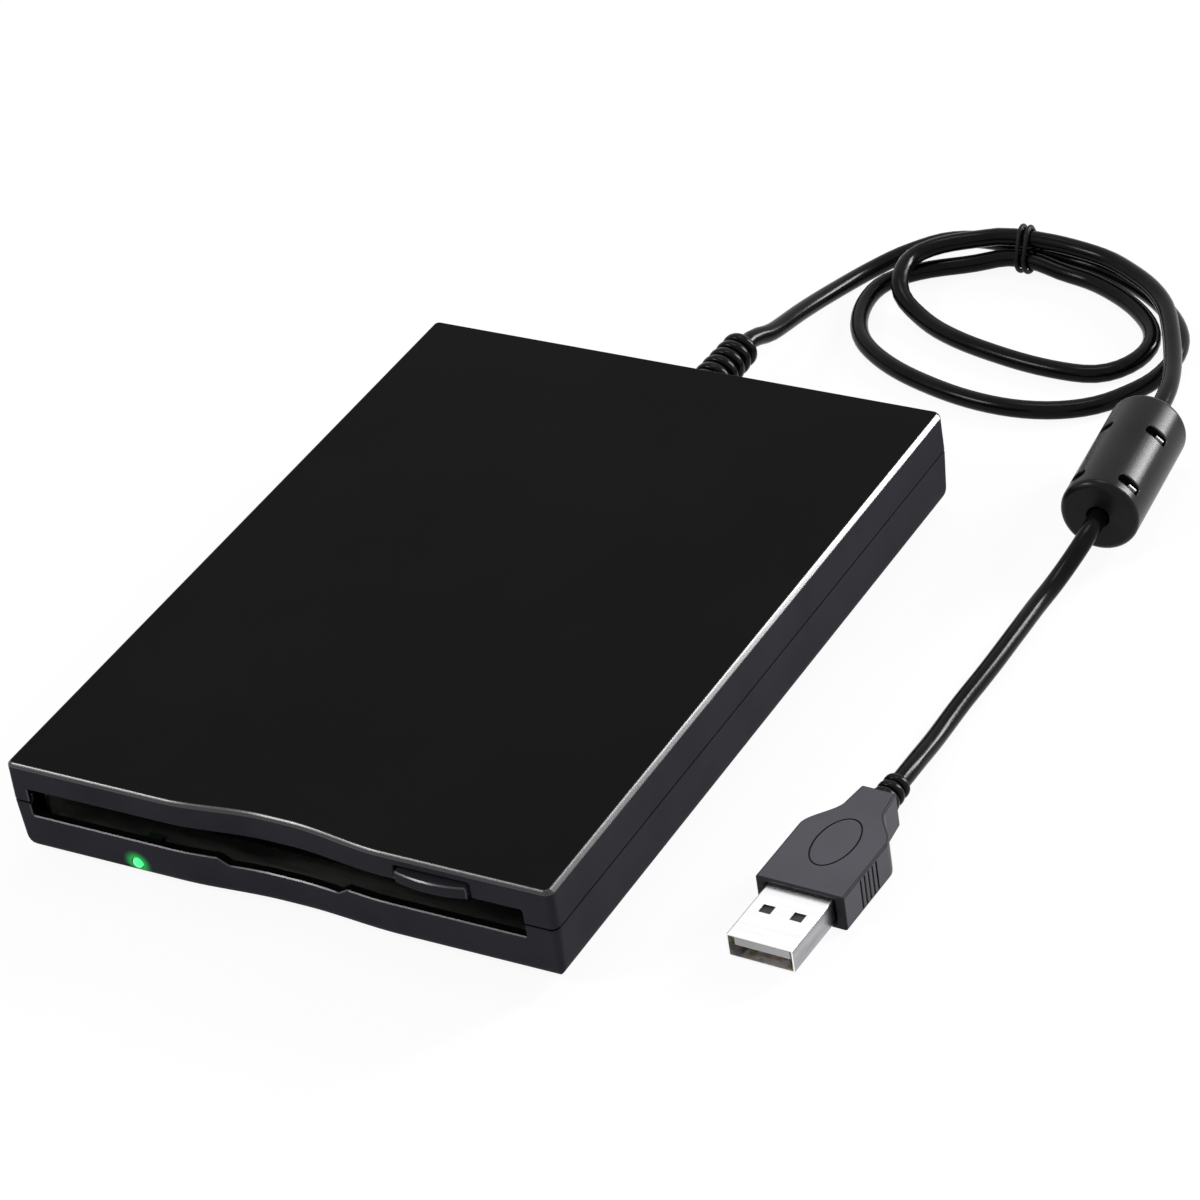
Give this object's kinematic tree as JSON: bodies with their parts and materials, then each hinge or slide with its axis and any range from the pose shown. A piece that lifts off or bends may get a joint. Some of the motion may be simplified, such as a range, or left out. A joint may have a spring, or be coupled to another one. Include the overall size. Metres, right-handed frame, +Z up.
{
  "type": "external floppy disk drive",
  "caption": "Slim portable slot-loading floppy disk drive with eject button, indicator and attached cord: coil, ferrite core and USB type A plug",
  "frame": {"origin": "middle of the drive's box, without its cord, on the surface it stands on", "axes": "+Z up; the disk slot and eject button face -Y; +X is to the right seen from the front by someone facing +Y"},
  "size_m": [0.142, 0.2246, 0.0195],
  "materials": {
    "black_rubber": "matte",
    "brass": "turned",
    "bright_steel": "bright zinc",
    "button_plastic": "satin gloss",
    "case_plastic": "fine satin texture",
    "chip_black": "matte",
    "circuit_board": "solder mask",
    "copper": "bare copper wire",
    "cord_jacket": "soft sheen",
    "cover_plastic": "satin gloss, smooth",
    "ferrite_grey": "sintered",
    "green_lens": "translucent green",
    "grey_plastic": "matte",
    "nickel": "bright nickel plate",
    "ribbon": "satin film",
    "white_plastic": "matte"
  },
  "bodies": {
    "housing": {"bottom_case": "case_plastic", "bridge_chip": "chip_black", "cable_socket": "white_plastic", "case_screw_left": "bright_steel", "case_screw_right": "bright_steel", "chassis": "bright_steel", "chassis_screw_front_left": "bright_steel", "chassis_screw_front_right": "bright_steel", "chassis_screw_rear_left": "bright_steel", "chassis_screw_rear_right": "bright_steel", "cord_coil": "cord_jacket", "cord_in_core": "cord_jacket", "cord_lead_in": "cord_jacket", "cord_lead_out": "cord_jacket", "cord_tail": "cord_jacket", "cord_tie": "black_rubber", "crystal_can": "nickel", "eject_spring": "bright_steel", "ferrite_core": "ferrite_grey", "ferrite_housing": "black_rubber", "foot_front_left": "black_rubber", "foot_front_right": "black_rubber", "foot_rear_left": "black_rubber", "foot_rear_right": "black_rubber", "guide_rod_left": "nickel", "guide_rod_right": "nickel", "inner_lead": "cord_jacket", "led_diode": "white_plastic", "led_lens": "green_lens", "plug_body": "case_plastic", "plug_insulator": "white_plastic", "plug_shell": "nickel", "ribbon_cable": "ribbon", "shield_cover": "bright_steel", "spindle_bearing": "brass", "stator_board": "circuit_board", "stator_coils": "copper", "stepper_motor": "bright_steel", "strain_relief": "black_rubber", "switch_block": "grey_plastic", "top_cover": "cover_plastic", "usb_board": "circuit_board"},
    "ejector": {"eject_plate": "bright_steel", "eject_button": "button_plastic"},
    "cradle": {"disk_cradle": "bright_steel"},
    "shutter_link": {"shutter_lever": "bright_steel"},
    "flap": {"dust_flap": "case_plastic"},
    "spindle": {"spindle_rotor": "bright_steel"},
    "carriage": {"head_carriage": "grey_plastic", "lower_head": "white_plastic"},
    "head_arm": {"upper_head_arm": "grey_plastic", "upper_head": "white_plastic"},
    "screw": {"lead_screw": "brass"},
    "write_protect": {"write_protect_plunger": "white_plastic"},
    "density": {"density_plunger": "white_plastic"}
  },
  "joints": [
    {"name": "eject_slide", "type": "slide", "parent": "housing", "child": "ejector", "axis": [0, -1, 0], "range_m": [0, 0.004], "deforming": ["eject_spring"]},
    {"name": "cradle_drop", "type": "slide", "parent": "housing", "child": "cradle", "axis": [0, 0, -1], "range_m": [0, 0.002]},
    {"name": "head_arm_turn", "type": "hinge", "parent": "carriage", "child": "head_arm", "pos_m": [-0.0012, 0.0462, 0.0117], "axis": [1, 0, 0], "range_deg": [0, 8]},
    {"name": "shutter_lever_turn", "type": "hinge", "parent": "cradle", "child": "shutter_link", "pos_m": [-0.0342, 0.0247, 0.0151], "axis": [0, 0, 1], "range_deg": [0, 35], "stiffness_Nm_per_rad": 0.004},
    {"name": "flap_turn", "type": "hinge", "parent": "housing", "child": "flap", "pos_m": [-0.0012, -0.0641, 0.014], "axis": [1, 0, 0], "range_deg": [0, 85], "stiffness_Nm_per_rad": 0.0005},
    {"name": "spindle_turn", "type": "hinge", "parent": "housing", "child": "spindle", "pos_m": [-0.0012, -0.0178, 0.0079], "axis": [0, 0, 1], "continuous": true},
    {"name": "carriage_slide", "type": "slide", "parent": "housing", "child": "carriage", "axis": [0, -1, 0], "range_m": [0, 0.0148]},
    {"name": "lead_screw_turn", "type": "hinge", "parent": "housing", "child": "screw", "pos_m": [0.0208, 0.03925, 0.0102], "axis": [0, 1, 0], "range_deg": [-5, 1785]},
    {"name": "write_protect_press", "type": "slide", "parent": "housing", "child": "write_protect", "axis": [0, 0, -1], "range_m": [0, 0.0008], "stiffness_N_per_m": 200},
    {"name": "density_press", "type": "slide", "parent": "housing", "child": "density", "axis": [0, 0, -1], "range_m": [0, 0.0008], "stiffness_N_per_m": 200}
  ],
  "couplings": [
    {"joint": "cradle_drop", "follows": "eject_slide", "ratio": 0.5},
    {"joint": "head_arm_turn", "follows": "eject_slide", "rad_per_m": 34.9},
    {"joint": "lead_screw_turn", "follows": "carriage_slide", "rad_per_m": 2094.4}
  ]
}
